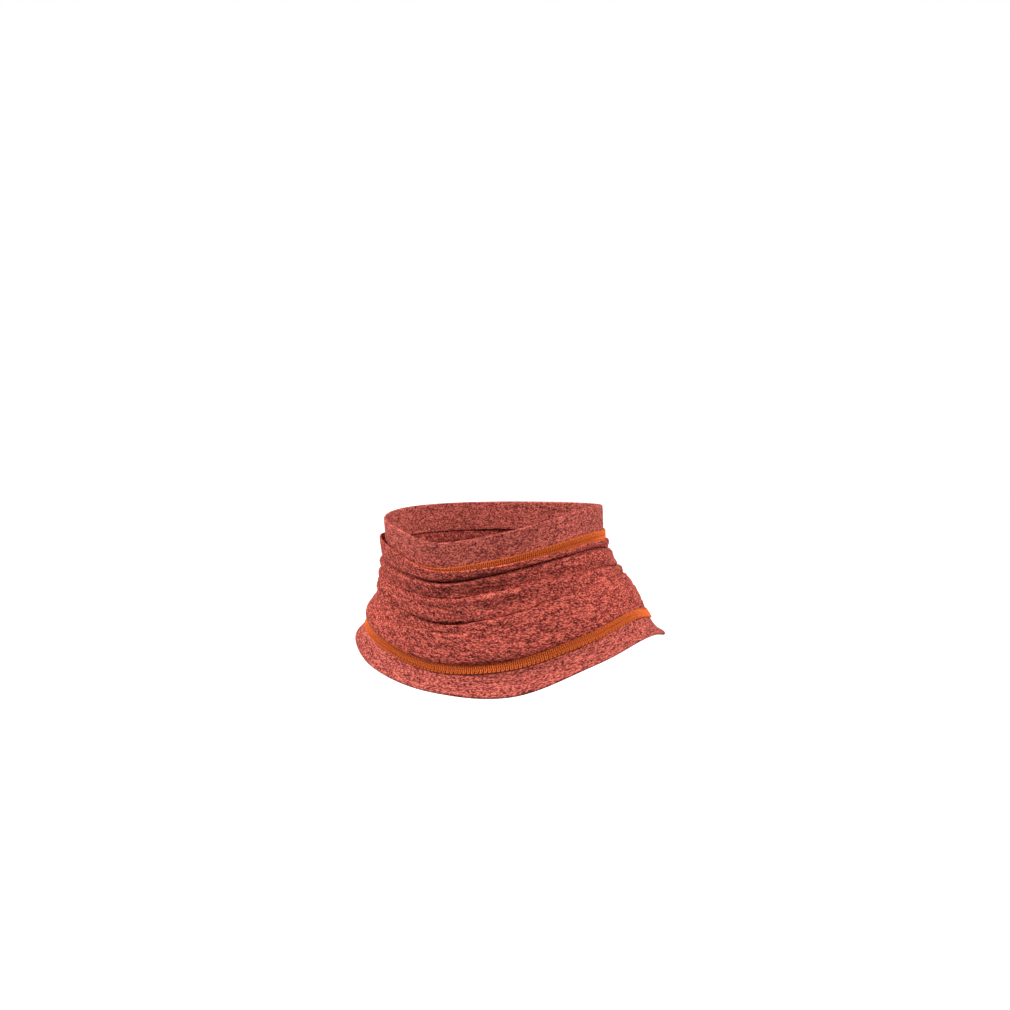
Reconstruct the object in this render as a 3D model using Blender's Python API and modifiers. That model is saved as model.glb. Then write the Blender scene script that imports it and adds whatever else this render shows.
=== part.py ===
"""Cooling neck gaiter in the shape it takes when worn.

A tube of heathered knit stands round the neck and slouches into folds above
the shoulders. Each end is turned into a hem, and a flat coverstitched band
runs over the joint of each hem. The origin is on the neck's axis at the
height of the shoulders, +Z is up, the wearer faces -Y and has +X at the left.
Angles go round the neck from the front, by the wearer's left to the back.
"""
import bpy
import numpy as np
from math import pi, radians

# Driving dimensions, in metres
NECK_WIDTH = 0.1206          # across the top hem
NECK_DEPTH = 0.1190          # front to back of the top hem
SEAM_WIDTH = 0.1562          # across the cloth at the bottom band
SEAM_DEPTH = 0.1440
SKIRT_WIDTH = 0.1782         # across the free bottom edge
SKIRT_DEPTH = 0.1630
COLLAR_HEIGHT = 0.0990       # from the lowest to the highest point
TOP_FORWARD = 0.0122         # the top ring stands this far to the front
FOLDS_FORWARD = 0.0104       # so do the folds, where they start
SEAM_BACK = 0.0030           # the bottom band lies this far to the back
SKIRT_BACK = 0.0054          # so does the free bottom edge
TOP_HEM_HEIGHT = 0.0133      # from the top edge to the top band
BAND_HEIGHT = 0.0058         # width of each coverstitched band
BAND_THICKNESS = 0.0009
KNIT_WALL = 0.0008           # one layer of the knit
HEM_WALL = 0.0017            # the turned hem, two layers
FOLD_STAND = 0.0026          # the folds' crowns stand this far off the hem
FOLD_SWELL = 0.0006          # further out where the first fold laps the band
LIP_ROUND = 0.0010           # roundness of the first fold's lips
LAST_FOOT = 0.0020           # the last fold turns in this far above the band
BAND_CLEAR = 0.0007          # and lies back on its seam this far above it
VALLEY_WIDTH = 0.0022        # half the width of a soft valley
GAP = 0.0003                 # clearance between touching pieces
EDGE_ROUND = 0.0005          # rounding of the hems' rims

# How evenly the skirt widens down to its free edge
SKIRT_POWER = 1.2

# Steps round the neck, rows down each hem and band, and the small step in
# angle or share that a slope is measured over
COLUMNS = 48
HEM_ROWS = 5
BAND_ROWS = 3
SLOPE_STEP = 0.001

# Heights at twelve stations, 30 degrees apart, as shares of COLLAR_HEIGHT.
# Columns: 0 is the front, 90 the wearer's left, 180 the back, 270 the right
#                0     30     60     90    120    150
#              180    210    240    270    300    330
TOP_EDGE = (0.516, 0.557, 0.632, 0.695, 0.706, 0.710,
            0.711, 0.710, 0.702, 0.682, 0.645, 0.587)
BOTTOM_SEAM = (-0.135, -0.113, 0.009, 0.129, 0.116, 0.132,
               0.136, 0.133, 0.127, 0.118, 0.073, -0.033)
BOTTOM_EDGE = (-0.278, -0.290, -0.134, 0.001, -0.011, 0.001,
               0.004, 0.000, -0.010, -0.024, -0.046, -0.180)

# How far the first fold laps up over the top band, as shares of BAND_HEIGHT
FIRST_LAP = (0.74, 0.47, 0.28, 0.21, 0.09, 0.09,
             0.09, 0.10, 0.25, 0.70, 1.12, 1.20)

# Creases between the folds, from the top one down. Place is the share of the
# height from the top band to the bottom band, depth is in shares of
# FOLD_STAND, and hang is 0 where the fold above leans back to the crease and
# 1 where it stands out over it
CREASES = {
    "crease_1": {
        "place": (0.044, 0.038, 0.050, 0.087, 0.120, 0.120,
                  0.120, 0.120, 0.110, 0.100, 0.090, 0.073),
        "depth": (0.92, 0.88, 0.62, 0.19, 0.62, 0.54,
                  0.46, 0.38, 0.38, 0.46, 0.62, 0.85),
        "hang": (1.0, 1.0, 0.7, 0.0, 0.0, 0.0,
                 0.0, 0.0, 0.2, 0.5, 0.8, 1.0)},
    "crease_2": {
        "place": (0.238, 0.228, 0.248, 0.350, 0.361, 0.370,
                  0.370, 0.370, 0.350, 0.310, 0.230, 0.270),
        "depth": (0.69, 0.85, 0.69, 0.62, 1.15, 0.85,
                  0.69, 0.62, 0.54, 0.54, 0.62, 0.46),
        "hang": (0.2, 0.1, 0.0, 0.0, 0.0, 0.0,
                 0.0, 0.0, 0.1, 0.3, 0.5, 0.4)},
    "crease_3": {
        "place": (0.520, 0.509, 0.483, 0.499, 0.473, 0.510,
                  0.520, 0.510, 0.490, 0.440, 0.365, 0.504),
        "depth": (0.77, 0.38, 0.35, 0.38, 0.62, 0.58,
                  0.54, 0.46, 0.46, 0.62, 0.85, 0.92),
        "hang": (0.8, 0.2, 0.0, 0.0, 0.0, 0.0,
                 0.0, 0.0, 0.2, 0.5, 1.0, 1.0)},
}

# Soft valleys on the wider folds, with the same columns
VALLEYS = {
    "front_valley": {
        "place": (0.330, 0.376, 0.415, 0.420, 0.420, 0.420,
                  0.420, 0.420, 0.420, 0.380, 0.310, 0.330),
        "depth": (0.27, 0.42, 0.31, 0.12, 0.00, 0.00,
                  0.00, 0.00, 0.00, 0.00, 0.00, 0.08)},
    "right_valley": {
        "place": (0.700, 0.700, 0.700, 0.700, 0.700, 0.700,
                  0.700, 0.700, 0.700, 0.640, 0.580, 0.660),
        "depth": (0.00, 0.00, 0.00, 0.00, 0.00, 0.00,
                  0.00, 0.00, 0.20, 0.40, 0.46, 0.12)},
}

# The last fold swells above the bottom band, in shares of FOLD_STAND
LAST_SWELL = (0.50, 0.60, 0.45, 0.10, -0.10, 0.00,
              0.15, 0.15, 0.10, -0.15, -0.25, 0.15)

# The skirt dips between the bottom band and its free edge, or bulges where
# the share is negative, in shares of FOLD_STAND
SKIRT_DIP = (0.00, 0.31, 0.62, 0.85, 0.90, 0.75,
             0.58, 0.38, 0.00, -0.38, -0.54, -0.19)

# The first fold, which comes out under the top band's foot, runs up its face
# and turns over. Columns: share of the lap's rise, LIP_ROUNDs added to the
# height, share of the way from the hem out to the band's face, and share of
# the way on from there to the fold's crown
LAP_ROWS = (
    (0.00, -0.90, 0.04, 0.00),
    (0.00, -1.70, 0.60, 0.00),
    (0.00, -0.40, 1.00, 0.04),
    (0.70, -0.12, 1.00, 0.12),
    (1.00, 0.00, 1.00, 0.65),
    (1.00, -0.90, 1.00, 1.00),
)

# One fold from the crease above it to the crease below it. Columns: share of
# the fold's height, share of the upper crease's depth, then the share of the
# lower crease's depth where the fold leans back, and where it hangs
FOLD_ROWS = (
    (0.00, 1.00, 0.00, 0.00),
    (0.04, 0.50, 0.00, 0.00),
    (0.12, 0.08, 0.00, 0.00),
    (0.32, 0.00, 0.10, 0.00),
    (0.60, 0.00, 0.42, 0.02),
    (0.84, 0.00, 0.76, 0.12),
    (0.95, 0.00, 0.93, 0.50),
)

# The widest fold, from the lowest crease to its foot. Columns: share of the
# fold's height, share of the crease's depth, share of the swell
LAST_ROWS = (
    (0.00, 1.00, 0.0),
    (0.02, 0.42, 0.0),
    (0.07, 0.08, 0.0),
    (0.22, 0.00, 0.0),
    (0.40, 0.00, 0.3),
    (0.60, 0.00, 0.7),
    (0.80, 0.00, 1.0),
    (0.94, 0.00, 0.9),
    (1.00, 0.00, 0.4),
)

# Colours in linear light, with roughness
MATERIALS = {
    "knit": ((0.445, 0.084, 0.058, 1.0), 0.85),
    "hem_knit": ((0.470, 0.092, 0.066, 1.0), 0.85),
    "stitch_thread": ((0.521, 0.100, 0.033, 1.0), 0.60),
}


def around(values, angles):
    """Value at each angle, on a smooth closed curve through the stations."""
    values = np.asarray(values, dtype=float)
    steps = np.mod(angles, 2 * pi) / (2 * pi) * len(values)
    index = np.floor(steps).astype(int)
    part = steps - index
    before, start, end, after = (
        values[(index + shift) % len(values)] for shift in (-1, 0, 1, 2))
    slope = end - before
    bend = 2 * before - 5 * start + 4 * end - after
    twist = 3 * start - before - 3 * end + after
    return start + 0.5 * part * (slope + part * (bend + part * twist))


def edge_heights(angles):
    """Heights of the top edge, the bands' edges and the bottom edge."""
    top = COLLAR_HEIGHT * around(TOP_EDGE, angles)
    band_top = top - TOP_HEM_HEIGHT
    band_foot = band_top - BAND_HEIGHT
    seam = COLLAR_HEIGHT * around(BOTTOM_SEAM, angles)
    bottom = COLLAR_HEIGHT * around(BOTTOM_EDGE, angles)
    return top, band_top, band_foot, seam, bottom


def ring(angles, width, depth, forward, height, out=0.0):
    """Points of one oval ring, moved out by a distance at each angle."""
    across = (width / 2 + out) * np.sin(angles)
    along = -forward - (depth / 2 + out) * np.cos(angles)
    return np.stack([across, along, height + 0 * angles], axis=-1)


def mix(start, end, share):
    """Value between start and end."""
    return start + (end - start) * share


def neck_forward(angles, height):
    """How far the cloth stands to the front, more towards the top."""
    top, _, band_foot, seam, _ = edge_heights(angles)
    above = mix(FOLDS_FORWARD, TOP_FORWARD,
                (height - band_foot) / (top - band_foot))
    below = mix(-SEAM_BACK, FOLDS_FORWARD,
                (height - seam) / (band_foot - seam))
    return np.where(height > band_foot, above, below)


def hem_point(angles, height, out=0.0):
    """Ring on the top hem, which stands almost straight up."""
    forward = neck_forward(angles, height)
    return ring(angles, NECK_WIDTH, NECK_DEPTH, forward, height, out)


def fold_point(angles, height, out=0.0):
    """Ring on the surface that the folds' crowns follow, widening down."""
    _, _, band_foot, seam, _ = edge_heights(angles)
    share = np.clip((band_foot - height) / (band_foot - seam), 0.0, 1.0)
    flare = share * share * (3 - 2 * share)
    width = mix(NECK_WIDTH + 2 * FOLD_STAND, SEAM_WIDTH, flare)
    depth = mix(NECK_DEPTH + 2 * FOLD_STAND, SEAM_DEPTH, flare)
    forward = neck_forward(angles, height)
    return ring(angles, width, depth, forward, height, out)


def skirt_surface(angles, share):
    """Ring on the skirt's outer face, from the bottom seam to its edge."""
    _, _, _, seam, bottom = edge_heights(angles)
    flare = share ** SKIRT_POWER
    width = mix(SEAM_WIDTH, SKIRT_WIDTH, flare)
    depth = mix(SEAM_DEPTH, SKIRT_DEPTH, flare)
    dip = FOLD_STAND * around(SKIRT_DIP, angles) * np.sin(pi * share ** 2)
    return ring(angles, width, depth, -mix(SEAM_BACK, SKIRT_BACK, share),
                mix(seam, bottom, share), -dip)


def skirt_point(angles, share, out=0.0):
    """Ring on the skirt, moved out square to its surface."""
    sideways = (skirt_surface(angles + SLOPE_STEP, share)
                - skirt_surface(angles - SLOPE_STEP, share))
    down = (skirt_surface(angles, share + SLOPE_STEP)
            - skirt_surface(angles, np.maximum(share - SLOPE_STEP, 0.0)))
    square = np.cross(down, sideways)
    square /= np.linalg.norm(square, axis=-1, keepdims=True)
    return skirt_surface(angles, share) + out * square


def skirt_length(angles):
    """Length of the skirt's slope, from the bottom seam to its edge."""
    _, _, _, seam, bottom = edge_heights(angles)
    return np.hypot(seam - bottom, (SKIRT_WIDTH - SEAM_WIDTH) / 2)


def band_share(angles):
    """Share of the skirt's slope that the bottom band covers."""
    return BAND_HEIGHT / skirt_length(angles)


def first_fold_rows(angles):
    """Rows from the top joint to the first crown, its height and swell."""
    _, band_top, band_foot, _, _ = edge_heights(angles)
    lap = BAND_HEIGHT * around(FIRST_LAP, angles)
    swell = FOLD_SWELL * np.clip(2 * lap / BAND_HEIGHT, 0.0, 1.0)
    band_face = GAP + BAND_THICKNESS + GAP - FOLD_STAND
    rows = [hem_point(angles, band_top - BAND_HEIGHT / 2 - GAP)]
    for rise, rounds, to_band, to_crown in LAP_ROWS:
        height = band_foot + rise * lap + rounds * LIP_ROUND
        out = mix(mix(-FOLD_STAND, band_face, to_band), swell, to_crown)
        rows.append(fold_point(angles, height, out))
    return rows, height, swell


def crease_heights(angles, crease):
    """Height of a crease's inner corner."""
    _, _, band_foot, seam, _ = edge_heights(angles)
    return mix(band_foot, seam, around(crease["place"], angles))


def fold_rows(angles, upper, lower):
    """Rows of one fold, between the creases above and below it."""
    start = crease_heights(angles, upper)
    end = crease_heights(angles, lower)
    upper_depth = FOLD_STAND * around(upper["depth"], angles)
    lower_depth = FOLD_STAND * around(lower["depth"], angles)
    hang = np.clip(around(lower["hang"], angles), 0.0, 1.0)
    rows = []
    for share, from_upper, leaning, hanging in FOLD_ROWS:
        inward = (from_upper * upper_depth
                  + mix(leaning, hanging, hang) * lower_depth)
        height = mix(start, end, share)
        rows.append(fold_point(angles, height, valleys(angles, height) - inward))
    return rows


def valleys(angles, height):
    """How far the soft valleys take the cloth inward, below zero."""
    inward = 0.0 * angles
    for valley in VALLEYS.values():
        from_middle = (height - crease_heights(angles, valley)) / VALLEY_WIDTH
        depth = FOLD_STAND * around(valley["depth"], angles)
        inward = inward - depth * np.exp(-from_middle ** 2)
    return inward


def last_fold_rows(angles, upper):
    """Rows of the widest fold, down to the joint under the bottom band."""
    _, _, _, seam, _ = edge_heights(angles)
    start = crease_heights(angles, upper)
    depth = FOLD_STAND * around(upper["depth"], angles)
    swell = FOLD_STAND * around(LAST_SWELL, angles)
    rows = []
    for share, from_upper, swelling in LAST_ROWS:
        height = mix(start, seam + LAST_FOOT, share)
        out = swelling * swell - from_upper * depth + valleys(angles, height)
        rows.append(fold_point(angles, height, out))
    rows.append(fold_point(angles, seam + BAND_CLEAR))
    rows.append(skirt_point(angles, 0 * angles))
    rows.append(skirt_point(angles, band_share(angles) / 2))
    return rows


def knit_rows(angles):
    """All rows of the knit tube's outer face, from the top joint down."""
    top_crease, *others = CREASES.values()
    rows, start, swell = first_fold_rows(angles)
    end = crease_heights(angles, top_crease)
    depth = FOLD_STAND * around(top_crease["depth"], angles)
    hang = np.clip(around(top_crease["hang"], angles), 0.0, 1.0)
    for share, _, leaning, hanging in FOLD_ROWS[3:]:
        inward = mix(leaning, hanging, hang) * depth
        height = mix(start, end, share)
        rows.append(fold_point(angles, height, swell * (1 - share) - inward))
    upper = top_crease
    for lower in others:
        rows += fold_rows(angles, upper, lower)
        upper = lower
    return rows + last_fold_rows(angles, upper)


def top_hem_rows(angles):
    """Rows of the top hem's outer face, from its fold to the joint."""
    top, band_top, _, _, _ = edge_heights(angles)
    joint = band_top - BAND_HEIGHT / 2
    return [hem_point(angles, mix(top, joint, share))
            for share in np.linspace(0.0, 1.0, HEM_ROWS)]


def bottom_hem_rows(angles):
    """Rows of the bottom hem's outer face, from the joint to its fold."""
    covered = band_share(angles)
    start = covered / 2 + GAP / skirt_length(angles)
    return [skirt_point(angles, start)] + [
        skirt_point(angles, mix(covered, 1.0, share))
        for share in np.linspace(0.0, 1.0, HEM_ROWS)]


def top_band_rows(angles):
    """Rows of the top band's outer face."""
    _, band_top, band_foot, _, _ = edge_heights(angles)
    return [hem_point(angles, mix(band_top, band_foot, share),
                      GAP + BAND_THICKNESS)
            for share in np.linspace(0.0, 1.0, BAND_ROWS)]


def bottom_band_rows(angles):
    """Rows of the bottom band's outer face."""
    return [skirt_point(angles, band_share(angles) * share,
                        GAP + BAND_THICKNESS)
            for share in np.linspace(0.0, 1.0, BAND_ROWS)]


def material(name):
    """Principled material with the piece's colour and roughness."""
    colour, roughness = MATERIALS[name]
    made = bpy.data.materials.new(name)
    made.use_nodes = True
    shader = made.node_tree.nodes["Principled BSDF"]
    shader.inputs["Base Color"].default_value = colour
    shader.inputs["Roughness"].default_value = roughness
    shader.inputs["Metallic"].default_value = 0.0
    made.diffuse_color = colour
    return made


def cloth_piece(name, rows, wall, surface, collection, edge_round=0.0):
    """Cloth wall lofted round the neck through rows, given its thickness."""
    points = np.stack(rows)
    count, columns, _ = points.shape
    here = np.arange(count * columns).reshape(count, columns)
    after = np.roll(here, -1, axis=1)
    faces = np.stack([here[1:], after[1:], after[:-1], here[:-1]], axis=-1)
    mesh = bpy.data.meshes.new(name)
    mesh.from_pydata(points.reshape(-1, 3).tolist(), [],
                     faces.reshape(-1, 4).tolist())
    mesh.materials.append(surface)
    mesh.shade_smooth()
    piece = bpy.data.objects.new(name, mesh)
    collection.objects.link(piece)
    shell = piece.modifiers.new("wall", "SOLIDIFY")
    shell.thickness = wall
    shell.offset = -1.0
    if edge_round:
        rim = piece.modifiers.new("rim", "BEVEL")
        rim.width = edge_round
        rim.segments = 2
        rim.limit_method = "ANGLE"
        rim.angle_limit = radians(60)
    return piece


def build():
    """Clear the scene and model the gaiter."""
    for old in list(bpy.data.objects):
        bpy.data.objects.remove(old, do_unlink=True)
    collection = bpy.data.collections.new("cooling_neck_gaiter")
    bpy.context.scene.collection.children.link(collection)
    angles = np.linspace(0.0, 2 * pi, COLUMNS, endpoint=False)
    knit = material("knit")
    hem = material("hem_knit")
    thread = material("stitch_thread")
    cloth_piece("top_hem", top_hem_rows(angles), HEM_WALL, hem, collection,
                EDGE_ROUND)
    cloth_piece("knit_tube", knit_rows(angles), KNIT_WALL, knit, collection)
    cloth_piece("bottom_hem", bottom_hem_rows(angles), HEM_WALL, hem,
                collection, EDGE_ROUND)
    cloth_piece("top_stitch_band", top_band_rows(angles), BAND_THICKNESS,
                thread, collection)
    cloth_piece("bottom_stitch_band", bottom_band_rows(angles),
                BAND_THICKNESS, thread, collection)


build()
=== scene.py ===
"""Looks of a cooling neck gaiter, held in the shape it takes when worn.

The tube, the hems and the bands' strips are closed walls worked out with
numpy on a grid: the columns go round the neck and the rows go down the
cloth. Threads are tubes laid along paths. Lengths are in metres.
Angles go round the neck from the wearer's front, by the left to the back.
"""
from math import cos, pi, radians, sin

import bpy
import numpy as np
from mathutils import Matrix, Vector


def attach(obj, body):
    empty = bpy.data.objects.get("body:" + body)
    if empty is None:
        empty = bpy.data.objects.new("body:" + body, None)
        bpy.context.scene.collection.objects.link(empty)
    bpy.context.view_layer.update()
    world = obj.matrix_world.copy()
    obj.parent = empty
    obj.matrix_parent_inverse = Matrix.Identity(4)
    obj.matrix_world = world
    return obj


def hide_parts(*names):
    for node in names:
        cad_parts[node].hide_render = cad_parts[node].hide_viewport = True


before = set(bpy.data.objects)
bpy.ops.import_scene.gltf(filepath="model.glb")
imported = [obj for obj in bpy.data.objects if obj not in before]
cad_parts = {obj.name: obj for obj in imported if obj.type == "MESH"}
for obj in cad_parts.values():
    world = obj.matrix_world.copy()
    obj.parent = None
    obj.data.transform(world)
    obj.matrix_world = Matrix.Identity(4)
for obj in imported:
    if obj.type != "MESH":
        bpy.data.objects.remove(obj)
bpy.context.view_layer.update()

# The view: a camera round to the wearer's left, tilted a little down
IMAGE_SIDE = 1010
FOCAL_PIXELS = 2340
SENSOR = 36.0
VIEW_AROUND = radians(32)
VIEW_DOWN = radians(1.5)
VIEW_DISTANCE = 1.30
VIEW_HEIGHT = 0.1035

# Sizes of the gaiter
NECK_WIDTH = 0.1206
NECK_DEPTH = 0.1190
SEAM_WIDTH = 0.1562
SEAM_DEPTH = 0.1440
SKIRT_WIDTH = 0.1782
SKIRT_DEPTH = 0.1630
COLLAR_HEIGHT = 0.0990
TOP_FORWARD = 0.0122
FOLDS_FORWARD = 0.0104
SEAM_BACK = 0.0030
SKIRT_BACK = 0.0054
TOP_HEM_HEIGHT = 0.0133
BAND_HEIGHT = 0.0058
KNIT_WALL = 0.0007
HEM_WALL = 0.0017
FOLD_STAND = 0.0026
FOLD_SWELL = 0.0006
LIP = 0.0010
SKIRT_POWER = 1.2

# The tube's inner face is set by the outer rows within this height of it, and
# NO_ROW marks the places that have none
WALL_REACH = 1.6 * LIP
NO_ROW = 1.0

# The tube runs on under the bottom band to these shares of its height, and
# each hem reaches in under its band by a share of it
UNDER_BAND = (0.2, 0.4)
HEM_TUCK = 0.45

# Length of cloth round the tube, and where the hems' knit starts down the
# pattern, so that it doesn't repeat the tube's
ROUND_LENGTH = 0.44
TOP_HEM_START = 0.02
BOTTOM_HEM_START = 0.11

# Fineness: columns round the neck, steps between two given rows of a fold,
# the tube's rows on its outer and inner face, the waves round the neck that
# the way down a column is kept to, a hem's rows and the rows round its edge,
# and the noise lattice's rows
COLUMNS = 360
FOLD_STEPS = 14
OUTER_ROWS = 236
INNER_ROWS = 26
SLOW_WAVES = 8
HEM_ROWS = 30
RIM_ROWS = 7
NOISE_ROWS = 256

# Heights at twelve stations, 30 degrees apart from the front by the wearer's
# left, as shares of COLLAR_HEIGHT
TOP_EDGE = (0.516, 0.557, 0.632, 0.695, 0.706, 0.710,
            0.711, 0.710, 0.702, 0.682, 0.645, 0.587)
BOTTOM_SEAM = (-0.135, -0.113, 0.009, 0.129, 0.116, 0.132,
               0.136, 0.133, 0.127, 0.118, 0.073, -0.033)
BOTTOM_EDGE = (-0.278, -0.290, -0.134, 0.001, -0.011, 0.001,
               0.004, 0.000, -0.010, -0.024, -0.046, -0.180)

# How far the first fold laps up over the top band, as shares of BAND_HEIGHT
FIRST_LAP = (0.76, 0.47, 0.28, 0.21, 0.09, 0.09,
             0.09, 0.10, 0.35, 0.95, 1.50, 1.42)

# Creases between the folds, from the top one down. Place is the share of the
# height between the bands, depth is in shares of FOLD_STAND, and hang is 0
# where the fold above leans back and 1 where it stands out over the crease
CREASES = (
    dict(place=(0.044, 0.038, 0.050, 0.087, 0.120, 0.120,
                0.120, 0.120, 0.110, 0.100, 0.090, 0.073),
         depth=(2.20, 2.20, 2.00, 1.30, 0.80, 0.60,
                0.46, 0.38, 0.40, 0.60, 1.30, 2.00),
         hang=(1.0, 1.0, 1.0, 0.8, 0.5, 0.3,
               0.2, 0.2, 0.4, 0.6, 0.9, 1.0)),
    dict(place=(0.238, 0.228, 0.248, 0.350, 0.361, 0.370,
                0.370, 0.370, 0.350, 0.310, 0.230, 0.270),
         depth=(1.20, 1.30, 1.10, 1.00, 1.40, 1.10,
                0.70, 0.64, 0.58, 0.70, 1.20, 1.20),
         hang=(0.4, 0.2, 0.1, 0.3, 0.6, 0.4,
               0.2, 0.2, 0.3, 0.5, 0.8, 0.7)),
    dict(place=(0.520, 0.509, 0.483, 0.499, 0.473, 0.510,
                0.520, 0.510, 0.490, 0.440, 0.365, 0.504),
         depth=(1.80, 0.80, 0.50, 0.48, 0.70, 0.60,
                0.54, 0.46, 0.50, 0.80, 1.60, 2.20),
         hang=(0.9, 0.4, 0.1, 0.2, 0.4, 0.3,
               0.1, 0.1, 0.3, 0.6, 1.0, 1.0)),
)

# Soft valleys on the wider folds. At its width from the middle a valley is
# down to about a third of its depth
VALLEYS = (
    dict(place=(0.330, 0.376, 0.415, 0.420, 0.420, 0.420,
                0.420, 0.420, 0.420, 0.380, 0.310, 0.330),
         depth=(0.27, 0.42, 0.31, 0.12, 0.00, 0.00,
                0.00, 0.00, 0.00, 0.00, 0.00, 0.08), width=0.0022),
    dict(place=(0.700, 0.700, 0.700, 0.700, 0.700, 0.700,
                0.700, 0.700, 0.700, 0.690, 0.665, 0.680),
         depth=(0.00, 0.00, 0.00, 0.00, 0.00, 0.00,
                0.00, 0.00, 0.20, 0.60, 1.00, 0.60), width=0.0036),
)

# Swell of the two middle folds, in shares of FOLD_STAND
FOLD_BULGE = (0.00, 0.00, 0.00, 0.00, 0.00, 0.00,
              0.00, 0.00, 0.00, 0.20, 0.60, 0.25)

# Swell of the last fold above the bottom band, and dip of the skirt below
# it, in shares of FOLD_STAND
LAST_SWELL = (0.65, 0.75, 0.60, 0.20, -0.10, 0.00,
              0.15, 0.15, 0.20, 0.30, 0.90, 0.85)
SKIRT_DIP = (0.00, 0.31, 0.62, 0.85, 0.90, 0.75,
             0.58, 0.38, 0.00, -0.38, -0.54, -0.19)

# The first fold comes out under the top band, runs up its face and turns
# over. Columns: share of the lap's rise, LIPs added to the height, share of
# the way from the hem out to the band's face, share of the way on to the
# fold's crown
LAP_ROWS = (
    (0.00, -0.90, 0.04, 0.00),
    (0.00, -1.60, 0.50, 0.00),
    (0.00, -0.40, 1.00, 0.04),
    (0.70, -0.12, 1.00, 0.12),
    (0.97, -0.02, 1.00, 0.40),
    (1.00, -0.10, 1.00, 0.80),
    (0.98, -0.80, 1.00, 1.00),
)

# A fold's rows from the crease above it down to the one below. Columns:
# share of the fold's height, LIPs added to the height where the fold above
# hangs, share of the upper crease's depth, share of the lower crease's depth
# where the fold leans back, and where it hangs
FOLD_ROWS = (
    (0.00, 1.00, 0.99, 0.00, 0.00),
    (0.02, 0.10, 0.74, 0.00, 0.00),
    (0.05, -0.10, 0.36, 0.00, 0.00),
    (0.09, -0.30, 0.14, 0.00, 0.00),
    (0.18, -0.10, 0.02, 0.02, 0.00),
    (0.36, 0.00, 0.00, 0.10, 0.00),
    (0.60, 0.00, 0.00, 0.38, 0.00),
    (0.82, 0.00, 0.00, 0.72, 0.00),
    (0.94, 0.00, 0.00, 0.92, 0.03),
)

# The first fold has no crease above it and starts at this row of the table
FIRST_FOLD_ROW = 4

# The hanging lip's underside and the crease's corner, with the same columns,
# the LIPs going by the hang of this crease
LIP_ROWS = (
    (1.00, 0.95, 0.00, 0.96, 0.08),
    (1.00, 0.62, 0.00, 0.98, 0.22),
    (1.00, 0.72, 0.00, 0.99, 0.55),
    (1.00, 1.10, 0.00, 1.00, 0.92),
)

# The widest fold down to its foot. Columns: share of its height, LIPs added
# where the fold above hangs, share of the crease's depth, share of the swell
LAST_ROWS = (
    (0.00, 1.00, 0.99, 0.00),
    (0.01, 0.05, 0.74, 0.00),
    (0.02, -0.15, 0.36, 0.00),
    (0.04, -0.30, 0.14, 0.00),
    (0.10, -0.10, 0.02, 0.00),
    (0.24, 0.00, 0.00, 0.00),
    (0.40, 0.00, 0.00, 0.12),
    (0.60, 0.00, 0.00, 0.45),
    (0.80, 0.00, 0.00, 0.95),
    (0.92, 0.00, 0.00, 1.10),
    (0.98, 0.00, 0.00, 0.90),
    (1.00, 0.00, 0.00, 0.50),
)

# Puckers, from broad to fine. Columns: ridges' cells round the neck, pitch
# down the cloth, ridges' height, dents' depth, seed
PUCKERS = (
    (16, 0.0062, 0.00050, 0.00100, 11),
    (30, 0.0030, 0.00048, 0.00070, 12),
    (60, 0.0015, 0.00026, 0.00000, 13),
)

# How fast they come in below the top band and go out above the bottom one,
# their least strength, and the middle and spread of where they are strongest
PUCKER_IN = 12
PUCKER_OUT = 9
PUCKER_LEAST = 0.45
PUCKER_MIDDLE = 0.42
PUCKER_SPREAD = 0.28

# A slow shift of the puckers down the cloth: size, pitch, cells, seed
DRIFT = (0.0022, 0.03, 9, 5)

# A dent's width as a noise value, and the patches that dents come and go in
DENT_WIDTH = 0.16
PATCH_PITCH = 2.5
PATCH_SEED = 7
PATCH_LIFT = 0.3

# Waves of a hem's face, slow and fine. Columns: share, pitch, cells
HEM_WAVES = (
    (1.0, 0.010, 14),
    (0.5, 0.0035, 40),
)
TOP_HEM_WAVE = (0.00022, 21)       # size and seed
BOTTOM_HEM_WAVE = (0.00030, 31)
HEM_FADE = 0.003                   # they grow over this far from the band

# The bands: how far the top one's face stands off the hem, and the strip's
# height, rows, edge power and place round the thread pattern. That place is
# on the thread's painted underside shade, so the whole strip is painted dark
# as shade between the threads
BAND_FACE = 0.0014
BAND_BASE = 0.0004
STRIP_ROWS = 9
STRIP_EDGE = 0.3
STRIP_ROUND = (0.45, 0.1)

# Threads: radii, pitch of the stitches, and needle rows as shares of the
# band's height
THREAD_RADIUS = 0.00032
NEEDLE_RADIUS = 0.00020
STITCH_PITCH = 0.0022
NEEDLE_LINES = (0.05, 0.35, 0.65, 0.95)

# The looper: steps a crossing, sides, sharpness of its turns, half its width
# in bands, odd power that squares its path, lean, and seeded wander
LOOPER_STEPS = 12
LOOPER_SIDES = 6
LOOPER_TURN = 0.97
LOOPER_REACH = 0.46
LOOPER_SQUARE = 5
LEAN = 0.22
WANDER = 0.010
WANDER_SEED = 41

# Needle stitches: steps, sides, half a stitch in pitches, dip at its ends,
# and the radius there as a share of the thread's
NEEDLE_STEPS = 6
NEEDLE_SIDES = 5
NEEDLE_REACH = 0.46
NEEDLE_DIP = 0.7
THREAD_END = 0.05

# The knit's flecks: shares of yarn, run and drift, steps that set one course
# apart from the next, and where dark ends and light starts
FLECK_SHARES = (0.60, 0.28, 0.12)
COURSE_STEPS = (5.37, 3.71)
DARK_EDGE = (0.41, 0.49)
LIGHT_EDGE = (0.50, 0.58)
RELIEF = 0.0002
SPECULAR = 0.12

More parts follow.
